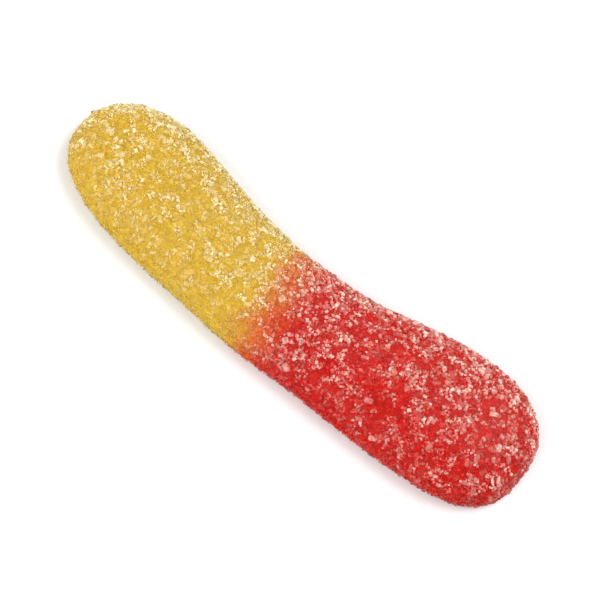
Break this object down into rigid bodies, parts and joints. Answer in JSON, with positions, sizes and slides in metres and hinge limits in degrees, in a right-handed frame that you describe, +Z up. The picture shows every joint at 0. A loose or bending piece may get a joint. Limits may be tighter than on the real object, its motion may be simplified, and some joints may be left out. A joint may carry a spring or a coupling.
{
  "type": "sour gummy tongue",
  "caption": "Sugared gummy sweet shaped like a tongue, yellow at the narrower end and red at the broader end, domed above and flat below.",
  "frame": {"origin": "under the middle of the bounding box, on the surface that the sweet lies on", "axes": "+X from the yellow end to the red end, +Y towards the hollow side of the bow, +Z up out of the domed face"},
  "size_m": [0.0828, 0.0248, 0.0076],
  "materials": {
    "gel": "soft translucent gel, yellow at one end and red at the other, with a soft orange change between them",
    "sugar": "small clear to white crystals that sparkle"
  },
  "bodies": {
    "root": {"gummy_tongue": "gel"}
  },
  "joints": []
}
